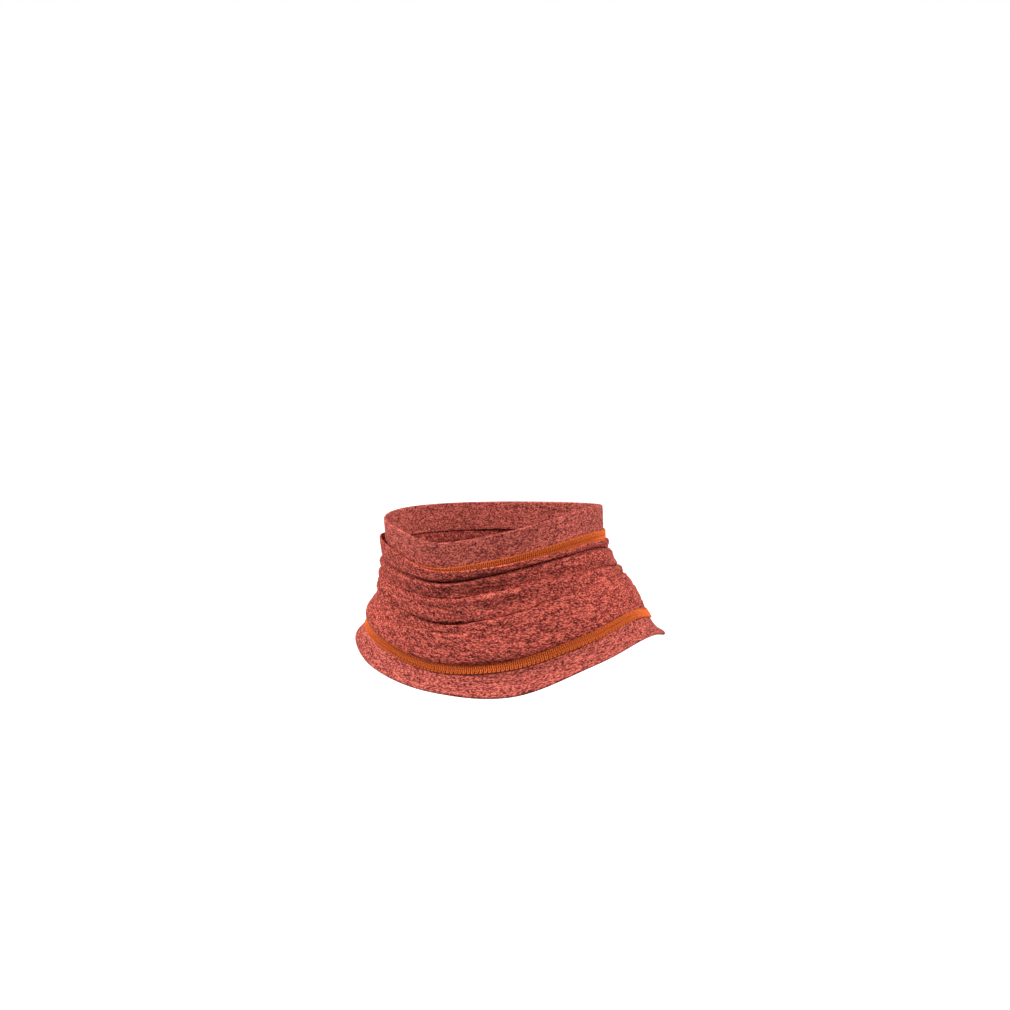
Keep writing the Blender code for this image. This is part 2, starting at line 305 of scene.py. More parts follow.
# The studio
BACKDROP = (1.0, 1.0, 1.0, 1.0)
SKY_ABOVE = 0.75
SKY_BELOW = 0.05
SKY_MIDDLE = 0.8
SKY_SIDES = 1.4
FLOOR_COLOUR = (0.86, 0.86, 0.87, 1)
FLOOR_GLOW = 0.6
FLOOR = -0.16
FLOOR_SIDE = 8.0
LAMPS = (
    ("above", "SUN", (0.15, -0.45, 1.0), 0.90, radians(50)),
    ("left", "AREA", (1.1, 0.0, 0.70), 15.0, 0.4),
    ("right", "AREA", (-0.9, -0.8, 0.70), 20.0, 0.4),
)


def around(values, angles):
    """Value at each angle, on a smooth closed curve through the stations:
    the cubic that meets each station with the slope of its two neighbours."""
    values = np.asarray(values, dtype=float)
    steps = np.mod(angles, 2 * pi) / (2 * pi) * len(values)
    index = np.floor(steps).astype(int)
    part = steps - index
    before, start, end, after = (
        values[(index + shift) % len(values)] for shift in (-1, 0, 1, 2))
    slope = end - before
    bend = 2 * before - 5 * start + 4 * end - after
    twist = 3 * start - before - 3 * end + after
    return start + 0.5 * part * (slope + part * (bend + part * twist))


def mix(start, end, share):
    """Value between start and end: start + (end - start) * share."""
    return start + (end - start) * share


def edge_heights(angles):
    """Heights of the top edge, the bands' edges and the bottom edge."""
    top = COLLAR_HEIGHT * around(TOP_EDGE, angles)
    band_top = top - TOP_HEM_HEIGHT
    band_foot = band_top - BAND_HEIGHT
    seam = COLLAR_HEIGHT * around(BOTTOM_SEAM, angles)
    bottom = COLLAR_HEIGHT * around(BOTTOM_EDGE, angles)
    return top, band_top, band_foot, seam, bottom


def ring(angles, width, depth, forward, height, out):
    """Oval ring: x is the half width times the sine of the angle, y is the
    half depth times minus its cosine, both moved out by a distance."""
    across = (width / 2 + out) * np.sin(angles)
    along = -forward - (depth / 2 + out) * np.cos(angles)
    return np.stack(np.broadcast_arrays(across, along, height), axis=-1)


def neck_forward(angles, height):
    """How far the cloth stands to the front, more towards the top."""
    top, _, band_foot, seam, _ = edge_heights(angles)
    above = mix(FOLDS_FORWARD, TOP_FORWARD,
                (height - band_foot) / (top - band_foot))
    below = mix(-SEAM_BACK, FOLDS_FORWARD,
                (height - seam) / (band_foot - seam))
    return np.where(height > band_foot, above, below)


def hem_point(angles, height, out=0.0):
    """The top hem's outer face at a height, moved out by a distance."""
    forward = neck_forward(angles, height)
    return ring(angles, NECK_WIDTH, NECK_DEPTH, forward, height, out)


def fold_point(angles, height, out=0.0):
    """The surface the folds' crowns follow: the half width eases from the
    neck's to the seam's by 3 s^2 - 2 s^3 of the share of the way down."""
    _, _, band_foot, seam, _ = edge_heights(angles)
    share = np.clip((band_foot - height) / (band_foot - seam), 0.0, 1.0)
    flare = share * share * (3 - 2 * share)
    width = mix(NECK_WIDTH + 2 * FOLD_STAND, SEAM_WIDTH, flare)
    depth = mix(NECK_DEPTH + 2 * FOLD_STAND, SEAM_DEPTH, flare)
    return ring(angles, width, depth, neck_forward(angles, height),
                height, out)


def skirt_point(angles, share, out=0.0):
    """The skirt below the bottom seam: it widens by a power of the share of
    the way down and dips by sin(pi s^2), moved out square to its slope."""
    _, _, _, seam, bottom = edge_heights(angles)
    share = share + 0 * angles
    flare = share ** SKIRT_POWER
    width = mix(SEAM_WIDTH, SKIRT_WIDTH, flare)
    depth = mix(SEAM_DEPTH, SKIRT_DEPTH, flare)
    dip = FOLD_STAND * around(SKIRT_DIP, angles) * np.sin(pi * share ** 2)
    run = (SKIRT_WIDTH - SEAM_WIDTH) / 2
    fall = seam - bottom
    slope = np.hypot(run, fall)
    height = mix(seam, bottom, share) + out * run / slope
    return ring(angles, width, depth, -mix(SEAM_BACK, SKIRT_BACK, share),
                height, out * fall / slope - dip)


def skirt_length(angles):
    """Length of the skirt's slope, from the bottom seam to its edge."""
    _, _, _, seam, bottom = edge_heights(angles)
    return np.hypot(seam - bottom, (SKIRT_WIDTH - SEAM_WIDTH) / 2)


def band_share(angles):
    """Share of the skirt's slope that the bottom band covers."""
    return BAND_HEIGHT / skirt_length(angles)


def crease_height(angles, crease):
    """Height of a crease or valley."""
    _, _, band_foot, seam, _ = edge_heights(angles)
    return mix(band_foot, seam, around(crease["place"], angles))


def valleys(angles, height):
    """How far the soft valleys take the cloth in: a bell curve of the
    distance from each valley's middle."""
    inward = 0.0 * angles
    for valley in VALLEYS:
        away = (height - crease_height(angles, valley)) / valley["width"]
        depth = FOLD_STAND * around(valley["depth"], angles)
        inward = inward - depth * np.exp(-away ** 2)
    return inward


def lap_rows(angles):
    """Given rows of the first fold, as height and distance out."""
    _, band_top, band_foot, _, _ = edge_heights(angles)
    lap = BAND_HEIGHT * around(FIRST_LAP, angles)
    swell = FOLD_SWELL * np.clip(2 * lap / BAND_HEIGHT, 0.0, 1.0)
    face = BAND_FACE - FOLD_STAND
    rows = [(band_top - BAND_HEIGHT / 2, -FOLD_STAND + 0 * angles)]
    for rise, lips, to_face, to_crown in LAP_ROWS:
        height = band_foot + rise * lap + lips * LIP
        out = mix(mix(-FOLD_STAND, face, to_face), swell, to_crown)
        rows.append((height, out))
    return rows, height, swell


def fold_rows(angles, start, above, below, swell):
    """Given rows of one fold between two creases. The first fold has no
    crease above, and its swell fades down to nothing."""
    end = crease_height(angles, below)
    depth = FOLD_STAND * around(below["depth"], angles)
    hang = np.clip(around(below["hang"], angles), 0.0, 1.0)
    if above is None:
        rows = FOLD_ROWS[FIRST_FOLD_ROW:]
        upper_depth, upper_hang = 0.0, 0.0
    else:
        rows = FOLD_ROWS
        upper_depth = FOLD_STAND * around(above["depth"], angles)
        upper_hang = np.clip(around(above["hang"], angles), 0.0, 1.0)
    made = []
    bulge = FOLD_STAND * around(FOLD_BULGE, angles) * (above is not None)
    lip_foot = end + LIP * hang
    for table, foot, lip_hang in ((rows, lip_foot, upper_hang),
                                  (LIP_ROWS, end, hang)):
        for share, lips, from_upper, leaning, hanging in table:
            height = mix(start, foot, share) + lips * LIP * lip_hang
            out = (swell * (1 - share) + valleys(angles, height)
                   + bulge * 4 * share * (1 - share)
                   - from_upper * upper_depth
                   - mix(leaning, hanging, hang) * depth)
            made.append((height, out))
    return made


def last_rows(angles, above):
    """Given rows of the widest fold, down to the seam under the band."""
    _, _, _, seam, _ = edge_heights(angles)
    start = crease_height(angles, above)
    depth = FOLD_STAND * around(above["depth"], angles)
    hang = np.clip(around(above["hang"], angles), 0.0, 1.0)
    swell = FOLD_STAND * around(LAST_SWELL, angles)
    made = []
    for share, lips, from_upper, swelling in LAST_ROWS:
        height = mix(start, seam + LIP / 2, share) + lips * LIP * hang
        out = swelling * swell - from_upper * depth + valleys(angles, height)
        made.append((height, out))
    made.append((seam + 0 * angles, 0 * angles))
    return made


def smooth_rows(rows, steps):
    """Rows in between the given ones, on a smooth curve through them, by
    the same cubic as in around() but with its two ends held."""
    held = np.concatenate([rows[:1], rows, rows[-1:]])
    parts = np.arange(steps) / steps
    part = parts.reshape((1, -1) + (1,) * (rows.ndim - 1))
    before, start, end, after = (
        held[i:len(rows) - 1 + i, None] for i in range(4))
    slope = end - before
    bend = 2 * before - 5 * start + 4 * end - after
    twist = 3 * start - before - 3 * end + after
    fine = start + 0.5 * part * (slope + part * (bend + part * twist))
    fine = fine.reshape((-1,) + rows.shape[1:])
    return np.concatenate([fine, rows[-1:]])


def lattice_noise(across, down, cells, seed):
    """Smooth noise from -1 to 1 that closes round the neck. Seeded random
    values on a lattice, eased between neighbours by 3 s^2 - 2 s^3. across
    goes from 0 to 1 round the neck; down is counted in cells."""
    random = np.random.default_rng(seed)
    values = random.uniform(-1.0, 1.0, (NOISE_ROWS, cells))
    u = across * cells
    i, j = np.floor(u).astype(int), np.floor(down).astype(int)
    s, t = u - i, down - j
    s, t = s * s * (3 - 2 * s), t * t * (3 - 2 * t)
    left, right = i % cells, (i + 1) % cells
    upper, lower = j % NOISE_ROWS, (j + 1) % NOISE_ROWS
    return mix(mix(values[upper, left], values[upper, right], s),
               mix(values[lower, left], values[lower, right], s), t)


def grid_normals(points, outside=1.0):
    """Unit normals of a grid that closes round the neck: the cross product
    of the steps down and across it."""
    down = np.gradient(points, axis=0)
    across = np.roll(points, -1, axis=1) - np.roll(points, 1, axis=1)
    square = np.cross(down, across) * outside
    return square / np.linalg.norm(square, axis=-1, keepdims=True)


def lengths_down(points):
    """Distance down the cloth to each row, the mean over all columns."""
    steps = np.linalg.norm(np.diff(points, axis=0), axis=-1).mean(axis=1)
    return np.concatenate([[0.0], np.cumsum(steps)])


def mesh_piece(name, points, faces, uv, surface, replaced):
    """One finished piece: its mesh, UV map, material and place on the
    frame."""
    mesh = bpy.data.meshes.new(name)
    mesh.from_pydata(points.reshape(-1, 3).tolist(), [], faces.tolist())
    layer = mesh.uv_layers.new(name="cloth")
    layer.data.foreach_set("uv", uv.astype(np.float32).ravel())
    mesh.materials.append(surface)
    mesh.shade_smooth()
    mesh.update()
    piece = bpy.data.objects.new(name, mesh)
    bpy.context.scene.collection.objects.link(piece)
    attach(piece, "root")
    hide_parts(replaced)
    return piece


def ring_faces(rows, columns):
    """Quads of a grid that closes both round the neck and over its rows, so
    the outer face runs on into the inner one. Returns the corners' row and
    column steps too, for the UV map."""
    row, column = np.meshgrid(np.arange(rows), np.arange(columns),
                              indexing="ij")
    corner_rows = np.stack([row, row + 1, row + 1, row], axis=-1)
    corner_columns = np.stack([column, column, column + 1, column + 1],
                              axis=-1)
    index = (corner_rows % rows) * columns + corner_columns % columns
    return (index.reshape(-1, 4), corner_rows.reshape(-1),
            corner_columns.reshape(-1))


def cloth(name, outer, inner, surface, replaced, slot, start=0.0):
    """A closed wall of cloth round the neck, from its outer rows, top to
    bottom, and its inner rows, bottom to top. The UV map holds the cloth's
    own metres, round the neck and down it. The way down a column is kept
    to its slow waves round the neck, so the courses run smoothly."""
    points = np.concatenate([outer, inner])
    rows, columns, _ = points.shape
    faces, corner_rows, corner_columns = ring_faces(rows, columns)
    steps = np.linalg.norm(np.roll(points, -1, axis=0) - points, axis=-1)
    slow = np.fft.rfft(np.cumsum(steps, axis=0), axis=1)
    slow[:, SLOW_WAVES:] = 0
    down = np.concatenate([0 * steps[:1],
                           np.fft.irfft(slow, n=columns, axis=1)])
    uv = np.stack([corner_columns * ROUND_LENGTH / columns,
                   -start - down[corner_rows, corner_columns % columns]],
                  axis=-1)
    return mesh_piece(name, points, faces, uv, surface, replaced)


def tube_surface(angles):
    """Outer and inner rows of the knit tube. The outer rows follow the
    folds, with fine puckers along them; the inner ones lie a wall further
    in than the deepest outer row near the same height."""
    rows, start, swell = lap_rows(angles)
    above = None
    for below in CREASES:
        rows += fold_rows(angles, start, above, below, swell)
        above, start, swell = below, crease_height(angles, below), 0.0
    rows += last_rows(angles, above)
    given = np.array([np.broadcast_arrays(*row) for row in rows])
    fine = even_rows(smooth_rows(given, FOLD_STEPS), angles)
    height, out = fine[:, 0], fine[:, 1]
    plain = fold_point(angles, height, out)
    down = lengths_down(plain)[:, None]
    pucker = puckers(angles, height, down)
    outer = plain + grid_normals(plain) * pucker[..., None]
    under = band_share(angles) * np.array(UNDER_BAND)[:, None]
    outer = np.concatenate([outer, skirt_point(angles, under)])
    share = np.linspace(1.0, 0.0, INNER_ROWS)[:, None]
    inner_height = mix(height[0], height[-1] + 0 * angles, share)
    near = np.abs(inner_height[:, None] - height[None]) < WALL_REACH
    deepest = np.where(near, out[None], NO_ROW).min(axis=1)
    deepest = np.where(deepest == NO_ROW, -FOLD_STAND, deepest)
    soft = deepest.copy()
    soft[1:-1] = (deepest[:-2] + deepest[1:-1] + deepest[2:]) / 3
    inner = fold_point(angles, inner_height,
                       np.minimum(soft, deepest) - KNIT_WALL)
    return outer, np.concatenate([
        skirt_point(angles, under[::-1], -KNIT_WALL), inner])


def even_rows(rows, angles):
    """The same profile with OUTER_ROWS rows, evenly spaced down the cloth
    by the mean of the average column's length and the longest one's."""
    points = fold_point(angles, rows[:, 0], rows[:, 1])
    steps = np.linalg.norm(np.diff(points, axis=0), axis=-1)
    steps = (steps.mean(axis=1) + steps.max(axis=1)) / 2
    down = np.concatenate([[0.0], np.cumsum(steps)])
    places = np.interp(np.linspace(0, down[-1], OUTER_ROWS), down,
                       np.arange(len(rows)))
    index = np.minimum(places.astype(int), len(rows) - 2)
    part = (places - index)[:, None, None]
    return mix(rows[index], rows[index + 1], part)


def puckers(angles, height, down):
    """Fine ridges and thin dents that run along the folds, strongest
    between the second crease and the lowest one, and none under the two
    bands. A dent follows the line on which its noise changes sign."""
    turn = angles / (2 * pi) + 0 * down
    _, _, band_foot, seam, _ = edge_heights(angles)
    share = (band_foot - height) / (band_foot - seam)
    fade = (np.clip(share * PUCKER_IN, 0, 1)
            * np.clip((1 - share) * PUCKER_OUT, 0, 1))
    strength = mix(PUCKER_LEAST, 1.0, np.exp(
        -((share - PUCKER_MIDDLE) / PUCKER_SPREAD) ** 2))
    size, pitch, cells, seed = DRIFT
    drift = size * lattice_noise(turn, down / pitch, cells, seed)
    relief = 0.0
    for cells, pitch, size, dent, seed in PUCKERS:
        ridge = lattice_noise(turn, (down + drift) / pitch, cells, seed)
        patch = lattice_noise(turn, down / (PATCH_PITCH * pitch), cells // 2,
                              seed + PATCH_SEED)
        relief = (relief + size * ridge
                  - dent * np.exp(-(ridge / DENT_WIDTH) ** 2)
                  * np.clip(patch + PATCH_LIFT, 0, 1))
    return relief * fade * strength


def rim_rows(edge, outward, along, wall):
    """Rows round a folded edge: half a circle of the wall's thickness, from
    the outer face over the edge to the inner face."""
    turns = np.linspace(0, pi, RIM_ROWS)[:, None, None]
    half = wall / 2
    middle = edge - outward * half
    return middle + half * (np.cos(turns) * outward + np.sin(turns) * along)


def unit(vectors):
    """Vectors of length one."""
    return vectors / np.linalg.norm(vectors, axis=-1, keepdims=True)


def waves(angles, down, size, seed):
    """Slow waves of a hem's face, with a little fine unevenness."""
    turn = angles / (2 * pi) + 0 * down
    return size * sum(
        share * lattice_noise(turn, down / pitch, cells, seed + index)
        for index, (share, pitch, cells) in enumerate(HEM_WAVES))


def top_hem_surface(angles):
    """Outer and inner rows of the hem at the neck, its folded edge up."""
    top, band_top, _, _, _ = edge_heights(angles)
    joint = band_top - BAND_HEIGHT * HEM_TUCK
    share = np.linspace(0, 1, HEM_ROWS)[:, None]
    height = mix(top - HEM_WALL / 2, joint, share)
    face = hem_point(angles, height)
    outward = grid_normals(face)
    fade = np.clip((height - band_top) / HEM_FADE, 0, 1)
    wave = waves(angles, top - height, *TOP_HEM_WAVE) * fade
    outer = face + outward * wave[..., None]
    along = unit(outer[0] - outer[1])
    rim = rim_rows(outer[0], outward[0], along, HEM_WALL)
    inner = (outer - outward * HEM_WALL)[:0:-1]
    return outer, np.concatenate([inner, rim[:0:-1]])


def bottom_hem_surface(angles):
    """Outer and inner rows of the hem on the shoulders."""
    length = skirt_length(angles)
    start = BAND_HEIGHT * (1 - HEM_TUCK) / length
    share = np.linspace(0, 1, HEM_ROWS)[:, None]
    spread = mix(start, 1 - HEM_WALL / 2 / length, share)
    face = skirt_point(angles, spread)
    outward = grid_normals(face)
    down = spread * length
    fade = np.clip((down - BAND_HEIGHT) / HEM_FADE, 0, 1)
    wave = waves(angles, down, *BOTTOM_HEM_WAVE) * fade
    outer = face + outward * wave[..., None]
    along = unit(outer[-1] - outer[-2])
    rim = rim_rows(outer[-1], outward[-1], along, HEM_WALL)
    inner = outer[-2::-1] - outward[-2::-1] * HEM_WALL
    return outer, np.concatenate([rim[1:], inner])


def top_band_point(angles, share, out):
    """Point on the top band, from its upper edge to its foot."""
    _, band_top, band_foot, _, _ = edge_heights(angles)
    return hem_point(angles, mix(band_top, band_foot, share), out)


def bottom_band_point(angles, share, out):
    """Point on the bottom band, from its upper edge to its foot."""
    return skirt_point(angles, share * band_share(angles), out)


def threads(point, angles, share, out, radius, sides):
    """Round threads along paths that are given as angles, shares of the
    band's height and distances out, one path a row. A ring of points is
    laid round each path point, square to the path."""
    path = point(angles, share, out)
    raised = point(angles, share, out + LIP)
    forward = unit(np.gradient(path, axis=1))
    up = raised - path
    up = unit(up - forward * (up * forward).sum(axis=-1, keepdims=True))
    side = np.cross(forward, up)
    turns = (np.arange(sides) * 2 * pi / sides)[:, None]
    return (path[:, :, None]
            + radius * (np.cos(turns) * up[:, :, None]
                        + np.sin(turns) * side[:, :, None]))


def thread_mesh(tubes, closed):
    """Quads and UV corners of threads from threads(). A closed path joins
    its end to its start. An open one has its ends drawn in close round its
    middle line, and they stay open."""
    paths, steps, sides, _ = tubes.shape
    if not closed:
        ends = tubes.mean(axis=2, keepdims=True)
        tubes[:, [0, -1]] = mix(ends[:, [0, -1]], tubes[:, [0, -1]],
                                THREAD_END)
    spans = steps if closed else steps - 1
    path, step, side = np.meshgrid(np.arange(paths), np.arange(spans),
                                   np.arange(sides), indexing="ij")
    step_corner = np.stack([step, step, step + 1, step + 1], axis=-1)
    side_corner = np.stack([side, side + 1, side + 1, side], axis=-1)
    faces = ((path[..., None] * steps + step_corner % steps) * sides
             + side_corner % sides)
    quads = faces.reshape(-1, 4)
    centre = tubes.mean(axis=2)
    run = np.linalg.norm(np.diff(centre, axis=1, append=centre[:, :1]),
                         axis=-1)
    length = np.concatenate([np.zeros((paths, 1)), np.cumsum(run, axis=1)],
                            axis=1)
    along = length[path[..., None], step_corner]
    uv = np.stack([along, side_corner / sides], axis=-1).reshape(-1, 2)
    return tubes.reshape(-1, 3), quads, uv


def band(name, point, length, replaced, surface):
    """One coverstitched band: a thin strip of thread close to the cloth,
    painted dark as shade between the threads, a looper thread that runs to
    and fro across it, leaning one way and the other between the needle
    lines, and the needle stitches over it."""
    crossings = 2 * round(length / STITCH_PITCH)
    base_angles = np.linspace(0, 2 * pi, COLUMNS, endpoint=False)
    share = np.linspace(0, 1, STRIP_ROWS)[:, None]
    edge = np.sin(pi * share) ** STRIP_EDGE
    strip = np.concatenate([
        point(base_angles, share, BAND_BASE * edge),
        point(base_angles, share[::-1], -BAND_BASE / 2 * edge[::-1])])
    faces, corner_rows, corner_columns = ring_faces(*strip.shape[:2])
    # The strip's place round the pattern lies on the thread's underside, so it
    # takes the painted shade colour all over
    first, width = STRIP_ROUND
    uv = np.stack([corner_columns * length / COLUMNS,
                   first + width * corner_rows / len(strip)], axis=-1)
    parts = [(strip.reshape(-1, 3), faces, uv)]

    t = np.arange(crossings * LOOPER_STEPS)[None] / LOOPER_STEPS
    zigzag = (np.arcsin(np.sin(pi * (t - 0.5)) * LOOPER_TURN)
              / np.arcsin(LOOPER_TURN))
    random = np.random.default_rng(WANDER_SEED)
    wander = np.repeat(random.uniform(-1, 1, (1, crossings)), LOOPER_STEPS,
                       axis=1)
    gaps = len(NEEDLE_LINES) - 1
    turn = gaps * pi * (zigzag + 1) / 2
    part = 2 * (t % 1.0) - 1
    square = np.floor(t) + 0.5 + 0.5 * part ** LOOPER_SQUARE
    angles = 2 * pi * (square + LEAN * np.cos(turn)) / crossings
    hump = BAND_BASE + THREAD_RADIUS * (0.8 + 0.5 * np.sin(turn) ** 2)
    looper = threads(point, angles,
                     0.5 + LOOPER_REACH * zigzag + WANDER * wander,
                     hump, THREAD_RADIUS, LOOPER_SIDES)
    parts.append(thread_mesh(looper, True))

    stitches = crossings // 2
    steps = np.linspace(-1, 1, NEEDLE_STEPS)[None]
    middle = (np.arange(stitches)[:, None] + 0.5) / stitches
    for line in NEEDLE_LINES:
        angles = 2 * pi * (middle + NEEDLE_REACH * steps / stitches)
        rise = ((BAND_BASE + THREAD_RADIUS * 1.5)
                * (1 - steps ** 4 * NEEDLE_DIP))
        needle = threads(point, angles, line + 0 * angles,
                         rise + 0 * angles, NEEDLE_RADIUS, NEEDLE_SIDES)
        parts.append(thread_mesh(needle, False))

    offset, points, quads, uvs = 0, [], [], []
    for part_points, part_faces, part_uv in parts:
        points.append(part_points)
        quads.append(part_faces + offset)
        uvs.append(part_uv)
        offset += len(part_points)
    return mesh_piece(name, np.concatenate(points), np.concatenate(quads),
                      np.concatenate(uvs), surface, replaced)


def group(name, inputs, outputs):
    """An empty shader node group with named inputs and outputs."""
    tree = bpy.data.node_groups.new(name, "ShaderNodeTree")
    for socket, kind, value in inputs:
        made = tree.interface.new_socket(socket, in_out="INPUT",
                                         socket_type=kind)
        if value is not None:
            made.default_value = value
    for socket, kind in outputs:
        tree.interface.new_socket(socket, in_out="OUTPUT", socket_type=kind)
    return tree, tree.nodes.new("NodeGroupInput"), tree.nodes.new(
        "NodeGroupOutput")


def calc(tree, operation, *values):
    """A Math node's output, with sockets or numbers as its values."""
    node = tree.nodes.new("ShaderNodeMath")
    node.operation = operation
    for socket, value in zip(node.inputs, values):
        if isinstance(value, (int, float)):
            socket.default_value = value
        else:
            tree.links.new(value, socket)
    return node.outputs[0]


def noise(tree, vector, detail, roughness=0.5):
    """A Noise texture's value at a vector."""
    node = tree.nodes.new("ShaderNodeTexNoise")
    node.inputs["Scale"].default_value = 1.0
    node.inputs["Detail"].default_value = detail
    node.inputs["Roughness"].default_value = roughness
    tree.links.new(vector, node.inputs["Vector"])
    return node.outputs["Fac"]


def vector(tree, *values):
    """A vector from three sockets or numbers."""
    node = tree.nodes.new("ShaderNodeCombineXYZ")
    for socket, value in zip(node.inputs, values):
        if isinstance(value, (int, float)):
            socket.default_value = value
        else:
            tree.links.new(value, socket)
    return node.outputs[0]


def mask(tree, value, low, high):
    """0 below low, 1 above high, eased in between."""
    node = tree.nodes.new("ShaderNodeMapRange")
    node.interpolation_type = "SMOOTHSTEP"
    tree.links.new(value, node.inputs["Value"])
    node.inputs["From Min"].default_value = low
    node.inputs["From Max"].default_value = high
    return node.outputs["Result"]


def blend(tree, share, first, second):
    """Colour between two, with sockets or colours."""
    node = tree.nodes.new("ShaderNodeMix")
    node.data_type = "RGBA"
    tree.links.new(share, node.inputs["Factor"])
    for name, value in (("A", first), ("B", second)):
        socket = [s for s in node.inputs if s.name == name
                  and s.type == "RGBA"][0]
        if isinstance(value, tuple):
            socket.default_value = value
        else:
            tree.links.new(value, socket)
    return [s for s in node.outputs if s.type == "RGBA"][0]


def knit_group():
    """Heathered knit. Each course of stitches has its own run of dark, mid
    and light yarn, and its stitches lean to and fro. The relief holds the
    stitches and a fine crimp. The vector is the cloth in metres."""
    tree, given, made = group("heathered_knit", (
        ("Vector", "NodeSocketVector", None),
        ("Course", "NodeSocketFloat", 0.00047),
        ("Wale", "NodeSocketFloat", 0.00080),
        ("Fleck Length", "NodeSocketFloat", 0.0013),
        ("Crimp", "NodeSocketFloat", 1.0),
        ("Dark", "NodeSocketColor", None),
        ("Mid", "NodeSocketColor", None),
        ("Light", "NodeSocketColor", None)), (
        ("Color", "NodeSocketColor"), ("Relief", "NodeSocketFloat")))
    split = tree.nodes.new("ShaderNodeSeparateXYZ")
    tree.links.new(given.outputs["Vector"], split.inputs[0])
    u, v = split.outputs[0], split.outputs[1]
    course = calc(tree, "DIVIDE", v, given.outputs["Course"])
    wale = calc(tree, "DIVIDE", u, given.outputs["Wale"])
    fleck = calc(tree, "DIVIDE", u, given.outputs["Fleck Length"])
    across = calc(tree, "ABSOLUTE", calc(
        tree, "SUBTRACT", calc(tree, "FRACT", wale), 0.5))
    slant = calc(tree, "ADD", course, calc(tree, "MULTIPLY", across, 0.8))
    level = calc(tree, "FLOOR", slant)
    yarn = noise(tree, vector(tree, fleck, calc(
        tree, "MULTIPLY", level, COURSE_STEPS[0]), 0.0), 1.0, 0.6)
    run = noise(tree, vector(tree, calc(
        tree, "MULTIPLY", fleck, 0.33), calc(
        tree, "MULTIPLY", level, COURSE_STEPS[1]), 7.0), 1.0)
    drift = noise(tree, vector(tree, calc(tree, "MULTIPLY", fleck, 0.20),
                               calc(tree, "MULTIPLY", course, 0.22), 3.0),
                  1.0)
    yarn, run, drift = (
        calc(tree, "MULTIPLY", value, share)
        for value, share in zip((yarn, run, drift), FLECK_SHARES))
    total = calc(tree, "ADD", yarn, calc(tree, "ADD", run, drift))
    dark = calc(tree, "SUBTRACT", 1.0, mask(tree, total, *DARK_EDGE))
    light = mask(tree, total, *LIGHT_EDGE)
    colour = blend(tree, light, given.outputs["Mid"], given.outputs["Light"])
    colour = blend(tree, dark, colour, given.outputs["Dark"])
    tree.links.new(colour, made.inputs["Color"])
    loop = calc(tree, "SINE", calc(tree, "MULTIPLY", slant, 2 * pi))
    leg = calc(tree, "SINE", calc(tree, "MULTIPLY", across, 2 * pi))
    stitch = calc(tree, "MULTIPLY", calc(tree, "ADD", loop, 1.4), leg)
    crimp = noise(tree, vector(tree, calc(tree, "MULTIPLY", fleck, 0.22),
                               calc(tree, "MULTIPLY", course, 0.40), 11.0),
                  1.0)
    relief = calc(tree, "ADD", stitch, calc(
        tree, "MULTIPLY", crimp, given.outputs["Crimp"]))
    tree.links.new(relief, made.inputs["Relief"])
    return tree


def thread_group():
    """Twisted thread: plies that wind round it, yarn of uneven dye with
    painted shade in the grooves between the plies, and painted shade on its
    underside, the side turned down to the cloth. The vector is the way along
    in metres and the share of the way round from the top."""
    tree, given, made = group("twisted_thread", (
        ("Vector", "NodeSocketVector", None),
        ("Twist", "NodeSocketFloat", 0.0011),
        ("Colour", "NodeSocketColor", None),
        ("Shade", "NodeSocketColor", None),
        ("Painted Shadow Side", "NodeSocketColor", None)), (
        ("Color", "NodeSocketColor"), ("Relief", "NodeSocketFloat")))
    split = tree.nodes.new("ShaderNodeSeparateXYZ")
    tree.links.new(given.outputs["Vector"], split.inputs[0])
    turns = calc(tree, "DIVIDE", split.outputs[0], given.outputs["Twist"])
    ply = calc(tree, "SINE", calc(tree, "MULTIPLY", calc(
        tree, "ADD", turns, calc(tree, "MULTIPLY", split.outputs[1], 2.0)),
        2 * pi))
    dye = noise(tree, vector(tree, calc(tree, "MULTIPLY", turns, 0.9),
                             split.outputs[1], 0.0), 2.0)
    # Uneven dye, plus painted shade: the grooves between the plies are
    # darkened a little
    share = mask(tree, calc(tree, "ADD", dye, calc(
        tree, "MULTIPLY", ply, -0.08)), 0.38, 0.66)
    # Painted shade: the thread is darkened towards its underside colour on the
    # side turned down to the cloth
    top = calc(tree, "COSINE", calc(tree, "MULTIPLY", split.outputs[1],
                                    2 * pi))
    under = calc(tree, "SUBTRACT", 1.0, mask(tree, top, -0.9, 0.3))
    face = blend(tree, share, given.outputs["Colour"],
                 given.outputs["Shade"])
    tree.links.new(blend(tree, under, face, given.outputs["Painted Shadow Side"]),
                   made.inputs["Color"])
    tree.links.new(ply, made.inputs["Relief"])
    return tree


def finish(name, effect, values, roughness, bump):
    """A matt cloth or thread material: its effect group on the piece's own
    UV map, with the relief as bump."""
    made = bpy.data.materials.new(name)
    made.use_nodes = True
    tree = made.node_tree
    shader = tree.nodes["Principled BSDF"]
    uv = tree.nodes.new("ShaderNodeUVMap")
    uv.uv_map = "cloth"
    node = tree.nodes.new("ShaderNodeGroup")
    node.node_tree = effect
    tree.links.new(uv.outputs["UV"], node.inputs["Vector"])
    for socket, value in values.items():
        node.inputs[socket].default_value = value
    tree.links.new(node.outputs["Color"], shader.inputs["Base Color"])
    lift = tree.nodes.new("ShaderNodeBump")
    lift.inputs["Strength"].default_value = bump
    lift.inputs["Distance"].default_value = RELIEF
    tree.links.new(node.outputs["Relief"], lift.inputs["Height"])
    tree.links.new(lift.outputs["Normal"], shader.inputs["Normal"])
    shader.inputs["Roughness"].default_value = roughness
    shader.inputs["Specular IOR Level"].default_value = SPECULAR
    return made


